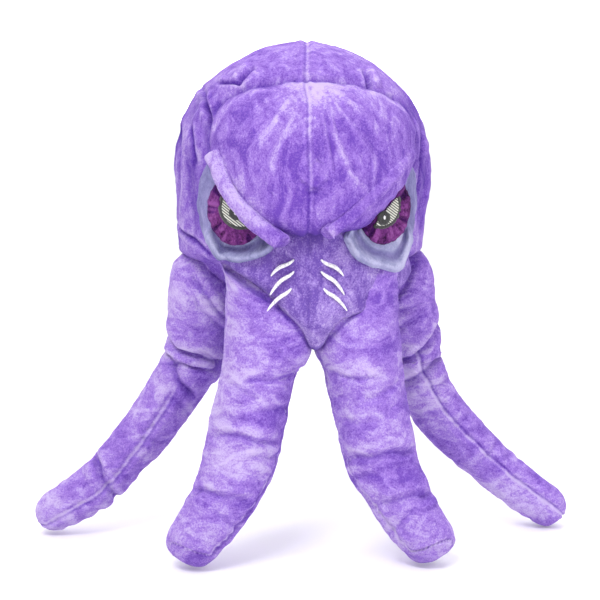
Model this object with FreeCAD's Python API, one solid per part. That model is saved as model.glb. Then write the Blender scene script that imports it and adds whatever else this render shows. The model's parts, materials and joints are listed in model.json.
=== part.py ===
"""A large stuffed octopus of short-pile plush: a round head on four fat arms that bend at their folds.

Millimetres, +Z up. The octopus faces -Y and stands on its four arm tips, with the origin on the floor
under the middle of its bounding box. "left" and "right" are a viewer's, looking at its face.
"""
import FreeCAD, Part
import math
import os

V = FreeCAD.Vector

# Fabric and fit
SKIN = 3.0                # thickness of the plush fabric with its pile
JOINT_GAP = 0.5           # free space between a ball end and the socket that it turns in
BALL_EASE = 0.4           # how much rounder a socket is than the channel that leads out of it
SOCKET_LIP = 4.0          # how much wider than a root ball the head's opening for it is

# Head: a dome over straight cheeks that round in to a flat base, with a forehead bulge and a muzzle
HEAD_Y = 12.0             # how far behind the origin the head's axis stands
DOME_RADIUS = 126.0
DOME_Z = 377.0            # height of the dome's centre
CHEEK_RADIUS = 121.0      # radius where the cheeks start to round in
CHEEK_Z = 303.0
BASE_ROUNDING = 60.0
FOREHEAD = [(-38, -48, 388, 62), (0, -60, 391, 78), (38, -48, 388, 62)]
MUZZLE = [(0, -58, 304, 56), (0, -76, 247, 37)]
CROWN_SEAM_Z = 402.0      # crown panels above this height, side panels below it
BACK_SEAM_Y = 30.0        # back panels behind this plane

# Eyes: each is a stack of domed layers about one axis, sunk under the brow
EYE_APEX = V(64, -94, 334)        # right eye's socket, where its axis leaves it
EYE_AXIS = V(0.50, -0.86, 0.05).normalize()
EYE_DOME_RADIUS = 110.0
SOCKET_RADIUS = 42.0
SOCKET_THICKNESS = 4.0
LID_ROLL_RADIUS = 4.5
LID_UP = V(0.2, 0, 1)             # the lid rolls round the socket's rim below a plane with this normal
PAD_CENTRE = V(70, -90, 342)
PAD_RADIUS = 31.0
PAD_THICKNESS = 6.0
PATCH_CENTRE = V(74, -94, 346)    # middle of the straight edge of the right eye's embroidered patch
PATCH_RADIUS = 17.0
PATCH_BORDER = 2.4
PATCH_THICKNESS = 1.0
PATCH_UP = V(-0.64, 0, 0.77)      # square to the patch's straight upper edge
PUPIL_RADIUS = 6.8
GLINT_RADIUS = 1.8

# Brows: stuffed tubes along the forehead's lower edge, right-hand route from outer to inner end
BROW_RADIUS = 8.5
BROW_ROUTE = [(92, -80, 390), (66, -106, 352), (22, -122, 321)]

# Satin-stitched slashes on the muzzle, right-hand side: inner and outer end of each (x, z)
SLASH_RADIUS = 2.0
SLASHES = [((12, 301), (32, 287)), ((12, 290), (33, 268)), ((15, 274), (34, 254))]

# Arms: for each segment the stations (x, y, z, radius) along its middle, from its hinge to its end,
# then the direction that the hinge lifts it in, and how far it bends (down or back, up or out).
FORWARD = V(0, -1, 0)
ROOT_BEND_FRONT = (-15.0, 30.0)
ROOT_BEND_OUTER = (-8.0, 40.0)
FOLD_BEND = (-15.0, 40.0)
ARMS = {
    "front_left": [
        ("upper", FORWARD, ROOT_BEND_FRONT, [(-37, -48, 246, 40), (-50, -62, 179, 37.5), (-61, -70, 131, 35.5)]),
        ("tip", V(-1, -0.3, 0), FOLD_BEND,
         [(-61, -70, 131, 35.5), (-74, -80, 84, 31), (-91, -86, 54, 28), (-112, -89, 24, 25)]),
    ],
    "front_right": [
        ("upper", FORWARD, ROOT_BEND_FRONT, [(46, -48, 246, 40), (56, -62, 178, 37.5), (70, -75, 108, 35)]),
        ("tip", V(1, -0.3, 0), FOLD_BEND, [(70, -75, 108, 35), (96, -87, 50, 29.5), (114, -91, 24.5, 25.5)]),
    ],
    "outer_left": [
        ("upper", V(-1, 0, 0), ROOT_BEND_OUTER, [(-104, 24, 258, 33), (-108, 28, 196, 29.5)]),
        ("lower", V(-1, 0, 0), FOLD_BEND,
         [(-108, 28, 196, 29.5), (-138, 32, 141, 26), (-166, 35, 102, 24), (-200, 38, 63, 22)]),
        ("tip", V(-1, 0, 0), FOLD_BEND, [(-200, 38, 63, 22), (-222, 39, 43, 21.5), (-258, 40, 20, 21)]),
    ],
    "outer_right": [
        ("upper", V(1, 0, 0), ROOT_BEND_OUTER, [(104, 24, 258, 33), (110, 28, 194, 29.5)]),
        ("lower", V(1, 0, 0), FOLD_BEND,
         [(110, 28, 194, 29.5), (142, 32, 131, 26.5), (169, 35, 97, 24.5), (196, 37, 69, 23)]),
        ("tip", V(1, 0, 0), FOLD_BEND, [(196, 37, 69, 23), (223, 39, 45, 22), (258, 40, 20, 21)]),
    ],
}
WAIST = 0.985             # radius of a tube between its stations, as a share of the balls there
COLUMN_REACH = 55.0       # half the length of the columns that cut the eye's layers
FAR = 700.0               # longer than the whole octopus, for cutting tools


def half_space(point, normal):
    """A large box that fills the side of a plane which its normal points to."""
    box = Part.makeBox(2 * FAR, 2 * FAR, FAR, V(-FAR, -FAR, 0))
    box.Placement = FreeCAD.Placement(point, FreeCAD.Rotation(V(0, 0, 1), normal))
    return box


def tube(stations, inset=0.0):
    """A round tapering tube with ball ends through the stations (x, y, z, radius)."""
    balls = [Part.makeSphere(r - inset, V(x, y, z)) for x, y, z, r in stations]
    solid = balls[0]
    for start, end, ball in zip(stations, stations[1:], balls[1:]):
        a = V(*start[:3])
        run = V(*end[:3]) - a
        radii = [(station[3] - inset) * WAIST for station in (start, end)]
        if start[3] == end[3]:
            barrel = Part.makeCylinder(radii[0], run.Length, a, run)
        else:
            barrel = Part.makeCone(radii[0], radii[1], run.Length, a, run)
        solid = solid.fuse(barrel).fuse(ball)
    return solid


def hinge_axis(lift):
    """The level axis that turns a hanging arm towards lift, as a unit vector."""
    return V(lift.y, -lift.x, 0).normalize()


def swing_room(segment, side_reach):
    """The space that a segment's ball end and first stretch sweep, with the joint gap all round."""
    _, lift, (down, up), stations = segment
    axis = hinge_axis(lift)
    centre = V(*stations[0][:3])
    radius = stations[0][3] + JOINT_GAP
    run = V(*stations[1][:3]) - centre
    run = (run - axis * run.dot(axis)).normalize()
    heart = centre - run * (radius / 3)
    corners = [heart]
    for angle, side in ((up, 1), (down, -1)):
        along = FreeCAD.Rotation(axis, angle).multVec(run)
        edge = centre + FreeCAD.Rotation(axis, 90 * side).multVec(along) * radius
        ends = [edge, edge + along * FAR]
        corners += ends if side == 1 else ends[::-1]
    corners.append(heart)
    fan = Part.Face(Part.makePolygon([p - axis * side_reach for p in corners]))
    fan = fan.extrude(axis * (2 * side_reach))
    return fan.fuse(Part.makeSphere(radius + BALL_EASE, centre))


def sided(side, vector):
    """A right-hand place or direction, or its mirror image for side -1."""
    return V(side * vector.x, vector.y, vector.z)


def eye_dome(side, height):
    """A ball about the eye's axis whose top is at this height above the socket's apex."""
    return Part.makeSphere(EYE_DOME_RADIUS + height, sided(side, EYE_APEX - EYE_AXIS * EYE_DOME_RADIUS))


def eye_column(side, radius, centre=EYE_APEX):
    """A round column along the eye's axis, through the face."""
    base = sided(side, centre - EYE_AXIS * COLUMN_REACH)
    return Part.makeCylinder(radius, 2 * COLUMN_REACH, base, sided(side, EYE_AXIS))


def brow(side):
    """One brow: a slim stuffed tube with round ends."""
    return tube([(side * x, y, z, BROW_RADIUS) for x, y, z in BROW_ROUTE])


def patch_outline(side, radius):
    """The column of the eye patch: a round that loses its upper part to a slanting cut."""
    upper_edge = half_space(sided(side, PATCH_CENTRE), sided(side, PATCH_UP))
    return eye_column(side, radius, PATCH_CENTRE).cut(upper_edge)


def eye_parts(side):
    """One eye's pieces by name, from the socket outwards."""
    def layer(low, high, outline):
        return eye_dome(side, high).cut(eye_dome(side, low)).common(outline)

    patch_top = PAD_THICKNESS + PATCH_THICKNESS
    whole = patch_outline(side, PATCH_RADIUS)
    inside = eye_column(side, PATCH_RADIUS - PATCH_BORDER, PATCH_CENTRE - PATCH_UP * PATCH_BORDER)
    inside = inside.common(patch_outline(side, PATCH_RADIUS - PATCH_BORDER))
    pupil_centre = PATCH_CENTRE - PATCH_UP * (PUPIL_RADIUS + PATCH_BORDER)
    pupil = eye_column(side, PUPIL_RADIUS, pupil_centre).common(inside)
    glint = eye_column(side, GLINT_RADIUS, pupil_centre)
    sag = EYE_DOME_RADIUS - math.sqrt(EYE_DOME_RADIUS ** 2 - SOCKET_RADIUS ** 2)
    lid = Part.makeTorus(SOCKET_RADIUS + LID_ROLL_RADIUS, LID_ROLL_RADIUS,
                         sided(side, EYE_APEX - EYE_AXIS * sag), sided(side, EYE_AXIS))
    return {
        "eye_socket": layer(-SOCKET_THICKNESS, 0, eye_column(side, SOCKET_RADIUS)),
        "lower_lid": lid.cut(half_space(sided(side, EYE_APEX), sided(side, LID_UP))),
        "eye_pad": layer(0, PAD_THICKNESS, eye_column(side, PAD_RADIUS, PAD_CENTRE)),
        "eye_outline": layer(PAD_THICKNESS, patch_top, whole.cut(inside)),
        "eye_white": layer(PAD_THICKNESS, patch_top, inside.cut(pupil)),
        "pupil": layer(PAD_THICKNESS, patch_top, pupil.cut(glint)),
        "eye_glint": layer(PAD_THICKNESS, patch_top, glint),
    }


def head_round(inset=0.0):
    """The head without its bulges: the dome, the cheeks and the flat base, turned about its axis."""
    top = DOME_Z + DOME_RADIUS - inset
    shoulder = V(DOME_RADIUS - inset, 0, DOME_Z)
    cheek = V(CHEEK_RADIUS - inset, 0, CHEEK_Z)
    rounding = BASE_ROUNDING - inset
    middle = V(CHEEK_RADIUS - BASE_ROUNDING, 0, CHEEK_Z)
    base_edge = middle - V(0, 0, rounding)
    slant = math.sqrt(0.5)
    dome_middle = V((DOME_RADIUS - inset) * slant, 0, DOME_Z + (DOME_RADIUS - inset) * slant)
    profile = Part.Wire([
        Part.Arc(V(0, 0, top), dome_middle, shoulder).toShape(),
        Part.LineSegment(shoulder, cheek).toShape(),
        Part.Arc(cheek, middle + V(slant, 0, -slant) * rounding, base_edge).toShape(),
        Part.LineSegment(base_edge, V(0, 0, base_edge.z)).toShape(),
        Part.LineSegment(V(0, 0, base_edge.z), V(0, 0, top)).toShape(),
    ])
    solid = Part.Face(profile).revolve(V(0, 0, 0), V(0, 0, 1), 360)
    solid.translate(V(0, HEAD_Y, 0))
    return solid


def largest(shape):
    """The biggest of a shape's solids, without the crumbs that the cuts leave beside it."""
    return max(shape.Solids, key=lambda solid: solid.Volume)


def face_front(x, z):
    """How far forward the face is at a place: the muzzle's surface or the cheeks', whichever stands out."""
    top = V(*MUZZLE[0][:3])
    bottom = V(*MUZZLE[1][:3])
    share = (top.z - z) / (top.z - bottom.z)
    middle = top + (bottom - top) * share
    radius = MUZZLE[0][3] + (MUZZLE[1][3] - MUZZLE[0][3]) * share
    muzzle = middle.y - math.sqrt(radius ** 2 - x ** 2)
    flat = CHEEK_RADIUS - BASE_ROUNDING
    cheek = flat + math.sqrt(BASE_ROUNDING ** 2 - (CHEEK_Z - z) ** 2)
    return min(muzzle, HEAD_Y - math.sqrt(cheek ** 2 - x ** 2))


def gill_stitches(head, side):
    """The three slashes of one side, as ridges that stand on the muzzle."""
    ridges = []
    for ends in SLASHES:
        stations = [(side * x, face_front(x, z) - SLASH_RADIUS / 2, z, SLASH_RADIUS) for x, z in ends]
        ridges.append(tube(stations).cut(head))
    return Part.Compound(ridges)


def head_parts():
    """Every piece of the head by name: panels, filling, eyes, brows and stitches."""
    lobes = [head_round(), tube(FOREHEAD), tube(MUZZLE)]
    fillings = [head_round(SKIN), tube(FOREHEAD, SKIN), tube(MUZZLE, SKIN)]
    outside = lobes[0].fuse(lobes[1:])
    parts = {}
    taken = []
    for segments in ARMS.values():
        taken.append(swing_room(segments[0], segments[0][3][0][3] + SOCKET_LIP))
    for side, word in ((1, "right"), (-1, "left")):
        tuft = brow(side)
        eye = {name: shape.cut([lobes[1], tuft]) for name, shape in eye_parts(side).items()}
        taken.append(eye_column(side, SOCKET_RADIUS).cut([eye_dome(side, -SOCKET_THICKNESS), lobes[1]]))
        eye["lower_lid"] = eye["lower_lid"].cut(outside)
        parts.update({f"{word}_{name}": shape for name, shape in eye.items()})
        parts[f"{word}_brow"] = largest(tuft.cut(outside))
        parts[f"{word}_gill_stitches"] = gill_stitches(outside, side)
    right = half_space(V(0, 0, 0), V(1, 0, 0))
    back = half_space(V(0, BACK_SEAM_Y, 0), V(0, 1, 0))
    crown = half_space(V(0, 0, CROWN_SEAM_Z), V(0, 0, 1))
    base = half_space(V(0, 0, CHEEK_Z - BASE_ROUNDING + SKIN), V(0, 0, -1))
    walls = lobes[0].cut(taken).cut(base)
    front = walls.cut(back)
    pieces = {
        "forehead": lobes[1].cut(taken + [lobes[0]]),
        "muzzle": lobes[2].cut(taken + lobes[:2]),
        "crown": front.common(crown).cut(lobes[1]),
        "back": walls.common(back),
        "side": front.cut([crown, lobes[1]]),
    }
    for name, piece in pieces.items():
        parts[f"{name}_left_panel"] = largest(piece.cut(right).cut(fillings))
        parts[f"{name}_right_panel"] = largest(piece.common(right).cut(fillings))
    parts["base_panel"] = largest(lobes[0].cut(taken).common(base))
    parts["head_stuffing"] = largest(fillings[0].fuse(fillings[1:]).cut(taken))
    return parts


def arm_parts(arm, segments):
    """The fabric halves and the filling of each segment of one arm, by name."""
    parts = {}
    floor = half_space(V(0, 0, 0), V(0, 0, -1))
    for number, segment in enumerate(segments):
        stations = segment[3]
        cuts = [floor]
        if number + 1 < len(segments):
            following = segments[number + 1]
            cuts.append(swing_room(following, 2 * following[3][0][3]))
        run = V(*stations[-1][:3]) - V(*stations[0][:3])
        # The seams run down both sides of a front arm, and down the front and back of an outer arm.
        facing = V(0, -0.8, 0.6) if arm.startswith("front") else V(stations[0][0], 0, abs(stations[0][0]))
        facing = facing - run * (facing.dot(run) / run.dot(run))
        upper_side = half_space(V(*stations[0][:3]), facing)
        filling = tube(stations, SKIN).cut(cuts)
        whole = tube(stations).cut(cuts)
        name = f"{arm}_{segment[0]}"
        parts[f"{name}_top_skin"] = whole.common(upper_side).cut(filling)
        parts[f"{name}_under_skin"] = whole.cut(upper_side).cut(filling)
        parts[f"{name}_stuffing"] = filling
    return parts


def all_parts():
    """Every named piece of the octopus."""
    parts = head_parts()
    for arm, segments in ARMS.items():
        parts.update(arm_parts(arm, segments))
    return parts


def main():
    os.makedirs("parts", exist_ok=True)
    for name, shape in all_parts().items():
        shape.exportStep(f"parts/{name}.step")
        print(f"{name}: {len(shape.Solids)} solid, {shape.Volume / 1000:.1f} cm3, valid {shape.isValid()}")


if __name__ == "__main__":
    main()
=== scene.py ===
"""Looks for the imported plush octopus: puffed plush skins, embroidery, studio and camera.

Metres, in the CAD's frame: +Z up, the octopus faces -Y. "left" and "right" are a viewer's.
"""
import json
import math

import bpy
import numpy as np
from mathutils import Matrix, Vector


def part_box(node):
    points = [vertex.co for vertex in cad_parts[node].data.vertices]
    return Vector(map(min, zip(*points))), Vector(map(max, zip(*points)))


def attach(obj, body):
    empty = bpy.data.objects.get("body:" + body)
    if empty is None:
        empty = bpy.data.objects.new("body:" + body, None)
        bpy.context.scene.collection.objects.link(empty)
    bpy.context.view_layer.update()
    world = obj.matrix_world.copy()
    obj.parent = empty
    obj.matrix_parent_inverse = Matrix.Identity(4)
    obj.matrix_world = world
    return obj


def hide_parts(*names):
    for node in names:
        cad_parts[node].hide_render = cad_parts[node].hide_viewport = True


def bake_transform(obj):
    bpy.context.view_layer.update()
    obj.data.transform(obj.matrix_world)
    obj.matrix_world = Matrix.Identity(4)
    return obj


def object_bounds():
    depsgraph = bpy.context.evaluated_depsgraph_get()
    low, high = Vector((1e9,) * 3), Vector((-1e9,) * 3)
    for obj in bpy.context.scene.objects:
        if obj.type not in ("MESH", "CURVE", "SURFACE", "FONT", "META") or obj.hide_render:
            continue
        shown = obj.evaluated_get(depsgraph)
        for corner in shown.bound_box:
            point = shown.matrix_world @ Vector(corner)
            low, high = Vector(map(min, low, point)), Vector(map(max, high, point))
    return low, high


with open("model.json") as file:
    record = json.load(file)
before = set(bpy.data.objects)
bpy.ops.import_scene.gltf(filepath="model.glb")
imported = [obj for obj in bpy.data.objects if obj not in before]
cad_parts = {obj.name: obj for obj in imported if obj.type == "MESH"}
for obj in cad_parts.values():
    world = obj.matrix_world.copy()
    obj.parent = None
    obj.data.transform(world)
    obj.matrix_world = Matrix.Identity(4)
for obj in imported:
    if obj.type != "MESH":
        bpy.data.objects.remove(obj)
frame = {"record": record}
cad_low, cad_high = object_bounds()

# ---------------------------------------------------------------- sizes, from the frame

JOINTS = {joint["name"]: Vector(joint["pos_m"]) for joint in frame["record"]["behaviour"]["joints"]}
BACK_LOW, BACK_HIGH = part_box("back_right_panel")
CROWN_LOW, CROWN_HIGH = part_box("crown_right_panel")
HEAD_TOP = CROWN_HIGH.z
HEAD_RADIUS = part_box("head_stuffing")[1].x + 0.003
HEAD_Y = BACK_HIGH.y - HEAD_RADIUS          # the head's upright axis stands at x = 0 and this y
DOME_Z = HEAD_TOP - HEAD_RADIUS             # height of the dome's centre
BASE_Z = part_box("base_panel")[0].z          # flat underside of the head
BACK_SEAM_Y = BACK_LOW.y
CROWN_SEAM_Z = CROWN_LOW.z
CHEEK_RADIUS = 0.121                        # where the cheeks begin to round in to the base
CHEEK_Z = 0.303
GRAIN = 64                                  # cells along each side of the noise lattice

# ---------------------------------------------------------------- numbers on grids

LATTICE = np.random.RandomState(7).uniform(-1, 1, (GRAIN, GRAIN, GRAIN))


def noise(points, size, seed=0):
    """Smooth noise from -1 to 1 at points, with lumps of about this size."""
    q = points / size + 11.7 * seed + 31.0
    cell = np.floor(q).astype(int)
    part = q - cell
    part = part * part * (3 - 2 * part)
    total = 0
    for corner in np.ndindex(2, 2, 2):
        share = np.prod(np.where(corner, part, 1 - part), axis=-1)
        i, j, k = np.moveaxis((cell + corner) % GRAIN, -1, 0)
        total = total + share * LATTICE[i, j, k]
    return total


def ridge(x, width):
    """A smooth bump of height 1 at x = 0 that has faded at plus and minus width."""
    return np.clip(1 - (x / width) ** 2, 0, 1) ** 2


def ramp(x, start, end):
    """0 before start, 1 after end, smooth between."""
    t = np.clip((x - start) / (end - start), 0, 1)
    return t * t * (3 - 2 * t)


def stroke(x, z, start, end):
    """A line seen from the front: how far points lie beside it, and 1 along it but 0 past its ends."""
    run = np.array(end) - np.array(start)
    length = np.hypot(*run)
    share = ((x - start[0]) * run[0] + (z - start[1]) * run[1]) / length ** 2
    off = ((x - start[0]) * run[1] - (z - start[1]) * run[0]) / length
    return off, ramp(share, -0.15, 0.20) * (1 - ramp(share, 0.75, 1.15))


def points_at(x, y, z):
    """Points from their three coordinates, each a grid or a number."""
    return np.stack(np.broadcast_arrays(x, y, z), -1)


def spline(values, at):
    """Smooth curve through evenly numbered values, read at positions from 0 to their last number."""
    values = np.asarray(values, float)
    last = len(values) - 1
    i = np.clip(np.floor(at).astype(int), 0, last - 1)
    t = np.asarray(at - i, float)
    before, after = np.maximum(i - 1, 0), np.minimum(i + 2, last)
    if values.ndim > 1:
        t = t[:, None]
    a, b, c, d = values[before], values[i], values[i + 1], values[after]
    return b + 0.5 * t * (c - a + t * (2 * a - 5 * b + 4 * c - d + t * (3 * (b - c) + d - a)))


def ring_spline(values, angle):
    """Smooth closed curve through evenly spaced values, read at angles in radians."""
    values = np.asarray(values, float)
    count = len(values)
    at = (angle / (2 * math.pi) % 1) * count
    i = np.floor(at).astype(int)
    t = at - i
    a, b, c, d = (values[(i + k) % count] for k in (-1, 0, 1, 2))
    return b + 0.5 * t * (c - a + t * (2 * a - 5 * b + 4 * c - d + t * (3 * (b - c) + d - a)))


def unit(v):
    return v / np.maximum(np.linalg.norm(v, axis=-1, keepdims=True), 1e-12)


def grid_normals(grid, closed):
    """Unit normals of a grid of points, by differences along its two directions."""
    along = np.gradient(grid, axis=0)
    if closed:
        around = (np.roll(grid, -1, axis=1) - np.roll(grid, 1, axis=1)) / 2
    else:
        around = np.gradient(grid, axis=1)
    return unit(np.cross(along, around))


# ---------------------------------------------------------------- meshes

def grid_faces(rows, columns, closed):
    """Quads over a grid of points numbered row by row."""
    last = columns if closed else columns - 1
    i, j = np.meshgrid(np.arange(rows - 1), np.arange(last), indexing="ij")
    k = (j + 1) % columns
    quads = np.stack([i * columns + j, i * columns + k, (i + 1) * columns + k, (i + 1) * columns + j], -1)
    return quads.reshape(-1, 4)


def make_mesh(name, points, faces, shades, flip):
    """A smooth mesh object from numbered points and quads, which keeps only the points that faces use."""
    shape = points.shape[:-1]
    used, faces = np.unique(faces, return_inverse=True)
    faces = faces.reshape(-1, 4)
    if flip:
        faces = faces[:, ::-1]
    points = points.reshape(-1, 3)[used]
    mesh = bpy.data.meshes.new(name)
    mesh.vertices.add(len(points))
    mesh.vertices.foreach_set("co", points.astype(np.float32).ravel())
    mesh.loops.add(faces.size)
    mesh.loops.foreach_set("vertex_index", faces.astype(np.int32).ravel())
    mesh.polygons.add(len(faces))
    mesh.polygons.foreach_set("loop_start", np.arange(0, faces.size, 4, dtype=np.int32))
    mesh.polygons.foreach_set("loop_total", np.full(len(faces), 4, dtype=np.int32))
    mesh.polygons.foreach_set("use_smooth", np.ones(len(faces), bool))
    mesh.update(calc_edges=True)
    mesh.validate()
    rest = mesh.attributes.new("rest", "FLOAT_VECTOR", "POINT")
    rest.data.foreach_set("vector", points.astype(np.float32).ravel())
    for key, values in shades.items():
        layer = mesh.attributes.new(key, "FLOAT", "POINT")
        values = np.broadcast_to(values, shape).reshape(-1)[used]
        layer.data.foreach_set("value", values.astype(np.float32))
    obj = bpy.data.objects.new(name, mesh)
    bpy.context.scene.collection.objects.link(obj)
    return obj


def add_piece(name, points, faces, look, nodes, dark=1.0, pale=0.0, body="head", flip=True):
    """A piece that stands for these CAD nodes, with its look and its body."""
    obj = make_mesh(name, points, faces, {"dark": dark, "pale": pale}, flip)
    material, slot = look
    obj.data.materials.append(material)
    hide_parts(*nodes)
    if body:
        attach(obj, body)
    return obj


# ---------------------------------------------------------------- materials

def srgb(red, green, blue):
    """A colour from screen values of 0 to 255."""
    shares = [value / 255 for value in (red, green, blue)]
    return [((s + 0.055) / 1.055) ** 2.4 if s > 0.04045 else s / 12.92 for s in shares] + [1]


class Nodes:
    """Short calls that build one node material."""

    def __init__(self, name):
        self.material = bpy.data.materials.new(name)
        self.material.use_nodes = True
        self.tree = self.material.node_tree
        self.shader = self.tree.nodes["Principled BSDF"]
        self.rest = self.attribute("rest", "Vector")

    def add(self, kind, inputs=(), **settings):
        node = self.tree.nodes.new(kind)
        for key, value in settings.items():
            setattr(node, key, value)
        for key, value in dict(inputs).items():
            self.put(node.inputs[key], value)
        return node

    def put(self, socket, value):
        """Gives a socket its value, or links it to the output that the value comes from."""
        if isinstance(value, bpy.types.NodeSocket):
            self.tree.links.new(value, socket)
        else:
            socket.default_value = value

    def attribute(self, name, output="Fac"):
        return self.add("ShaderNodeAttribute", attribute_name=name).outputs[output]

    def scaled(self, scale):
        """The rest place, stretched along its axes."""
        return self.add("ShaderNodeVectorMath", {0: self.rest, 1: scale}, operation="MULTIPLY").outputs[0]

    def noise(self, scale, detail=2.0, distortion=0.0, vector=None, rough=0.5):
        inputs = {"Vector": vector or self.rest, "Scale": scale, "Detail": detail,
                  "Distortion": distortion, "Roughness": rough}
        return self.add("ShaderNodeTexNoise", inputs).outputs["Fac"]

    def spread(self, value, low, high):
        inputs = {"Value": value, "From Min": low, "From Max": high}
        return self.add("ShaderNodeMapRange", inputs, interpolation_type="SMOOTHSTEP").outputs[0]

    def math(self, operation, a, b):
        return self.add("ShaderNodeMath", {0: a, 1: b}, operation=operation).outputs[0]

    def mix(self, share, a, b, blend="MIX"):
        inputs = {0: share, 6: a, 7: b}
        return self.add("ShaderNodeMix", inputs, data_type="RGBA", blend_type=blend).outputs[2]

    def bump(self, height, distance, strength=1.0, normal=None):
        inputs = {"Height": height, "Distance": distance, "Strength": strength}
        if normal:
            inputs["Normal"] = normal
        return self.add("ShaderNodeBump", inputs).outputs[0]

    def set(self, **values):
        for key, value in values.items():
            self.put(self.shader.inputs[key.replace("_", " ")], value)


def plush(name, deep, middle, pale, contrast=1.0, grain=1.0, lie=(1.0, 1.0, 0.55)):
    """Short crushed pile: light and dark patches of nap, drawn out along its lie, over a fine grain."""
    n = Nodes(name)
    broad = n.noise(14, 2, 0.6, n.scaled(lie), 0.5)
    strokes = n.noise(42, 4, 1.6, n.scaled(lie), 0.6)
    flecks = n.noise(150, 3, 0.8, n.scaled(lie), 0.65)
    fine = n.noise(620 * grain, 3, 0.3, rough=0.7)
    hairs = n.noise(1400 * grain, 2, 0.0, n.scaled((1.0, 1.0, 0.45)))
    # The "pale" attribute lays painted highlights and painted light on each piece, besides some random tone.
    layers = [(n.spread(broad, 0.34, 0.68), 0.36), (n.spread(strokes, 0.34, 0.70), 0.42),
              (n.attribute("pale"), 0.50)]
    layers += [(n.math("SUBTRACT", layer, 0.5), weight * contrast)
               for layer, weight in ((flecks, 0.7), (fine, 1.1), (hairs, 0.5))]
    tone = 0.0
    for layer, weight in layers:
        tone = n.math("ADD", tone, n.math("MULTIPLY", layer, weight))
    low = n.mix(n.spread(tone, 0.0, 0.5), deep, middle)
    colour = n.mix(n.spread(tone, 0.38, 1.05), low, pale)
    # The shade in folds stays violet: it takes away the green first and the blue last.
    dark = n.attribute("dark")
    shade = n.add("ShaderNodeCombineColor",
                  {0: dark, 1: n.math("POWER", dark, 1.25), 2: n.math("POWER", dark, 0.55)})
    colour = n.mix(1.0, colour, shade.outputs[0], "MULTIPLY")
    nap = n.bump(strokes, 0.0040, 0.35)
    clumps = n.bump(flecks, 0.0030, 0.45, nap)
    tufts = n.bump(fine, 0.0015, 0.6, clumps)
    pile = n.bump(hairs, 0.0008, 0.5, tufts)
    n.set(Base_Color=colour, Normal=pile, Roughness=0.95, Specular_IOR_Level=0.08)
    n.set(Sheen_Weight=0.16, Sheen_Roughness=0.45, Sheen_Tint=pale)
    return n.material


def thread(name, colour, other):
    """Satin stitches: fine parallel threads that catch the light."""
    n = Nodes(name)
    strand = n.noise(900, 2, 0.2, n.scaled((1.0, 1.0, 0.3)))
    n.set(Base_Color=n.mix(n.spread(strand, 0.35, 0.65), colour, other), Roughness=0.45)
    n.set(Normal=n.bump(strand, 0.0006, 0.6), Sheen_Weight=0.25, Specular_IOR_Level=0.4)
    return n.material


def hatched(name, light, dark, pitch, slant):
    """Open diagonal stitches over a dark ground, with the lines this far apart."""
    n = Nodes(name)
    across = n.add("ShaderNodeVectorMath", {0: n.rest, 1: slant}, operation="DOT_PRODUCT").outputs["Value"]
    wave = n.math("SINE", n.math("MULTIPLY", across, 2 * math.pi / pitch), 0.0)
    lines = n.spread(n.math("ADD", wave, n.math("MULTIPLY", n.noise(500, 2), 0.5)), -0.5, 0.7)
    n.set(Base_Color=n.mix(lines, dark, light), Roughness=0.6, Normal=n.bump(lines, 0.0005, 0.7))
    return n.material


# Each look is a material and the slot that it goes in. Plush has a deep, a middle and a pale colour.
LILAC = (plush("lilac_plush", srgb(102, 66, 168), srgb(143, 108, 197), srgb(190, 171, 218), 1.1),
         "lilac_plush")
ARM_LILAC = (plush("arm_plush", srgb(108, 72, 174), srgb(149, 114, 203), srgb(194, 176, 221), 1.1,
                   lie=(0.7, 0.7, 1.25)), "lilac_plush")
FACE_LILAC = (plush("face_plush", srgb(104, 76, 162), srgb(147, 120, 195), srgb(192, 176, 218), 1.4),
              "lilac_plush")
GREY_BLUE = (plush("grey_blue_plush", srgb(106, 104, 148), srgb(146, 146, 186), srgb(184, 182, 214), 0.6),
             "grey_blue_plush")
MAGENTA = (plush("magenta_plush", srgb(52, 24, 60), srgb(100, 44, 108), srgb(136, 74, 144), 1.3, 0.6),
           "magenta_plush")
BLACK = (thread("black_thread", srgb(16, 16, 18), srgb(44, 44, 48)), "black_thread")
WHITE = (thread("white_thread", srgb(250, 248, 250), srgb(206, 200, 214)), "white_thread")
EYE_GREY = (hatched("grey_thread", srgb(214, 216, 206), srgb(58, 60, 62), 0.0021, (0.6, 0.0, 0.8)),
            "grey_thread")

# ---------------------------------------------------------------- head

def head_radius(z):
    """The head's radius at a height, without its folds."""
    dome = np.sqrt(np.clip(HEAD_RADIUS ** 2 - np.maximum(z - DOME_Z, 0) ** 2, 0, None))
    slope = np.clip((DOME_Z - z) / (DOME_Z - CHEEK_Z), 0, 1)
    cheek = HEAD_RADIUS + (CHEEK_RADIUS - HEAD_RADIUS) * slope
    round_in = CHEEK_Z - BASE_Z
    inner = CHEEK_RADIUS - round_in
    rounded = inner + np.sqrt(np.clip(round_in ** 2 - np.maximum(CHEEK_Z - z, 0) ** 2, 0, None))
    return np.where(z > DOME_Z, dome, np.where(z > CHEEK_Z, cheek, rounded))


def head_front(x, z):
    """The y of the head's front at a place seen from the front."""
    return HEAD_Y - np.sqrt(np.clip(head_radius(z) ** 2 - x ** 2, 1e-8, None))


def middle_seam(y):
    """The x of the seam down the middle, which drifts a little as it comes forward."""
    return 0.003 - 0.0055 * ramp(-y, -0.02, 0.10)


def front_normal(x, z, surface=head_front, step=0.002):
    """Outward normals of a front surface y(x, z)."""
    dx = (surface(x + step, z) - surface(x - step, z)) / (2 * step)
    dz = (surface(x, z + step) - surface(x, z - step)) / (2 * step)
    return unit(np.stack([dx, -np.ones_like(dx), dz], -1))


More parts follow.
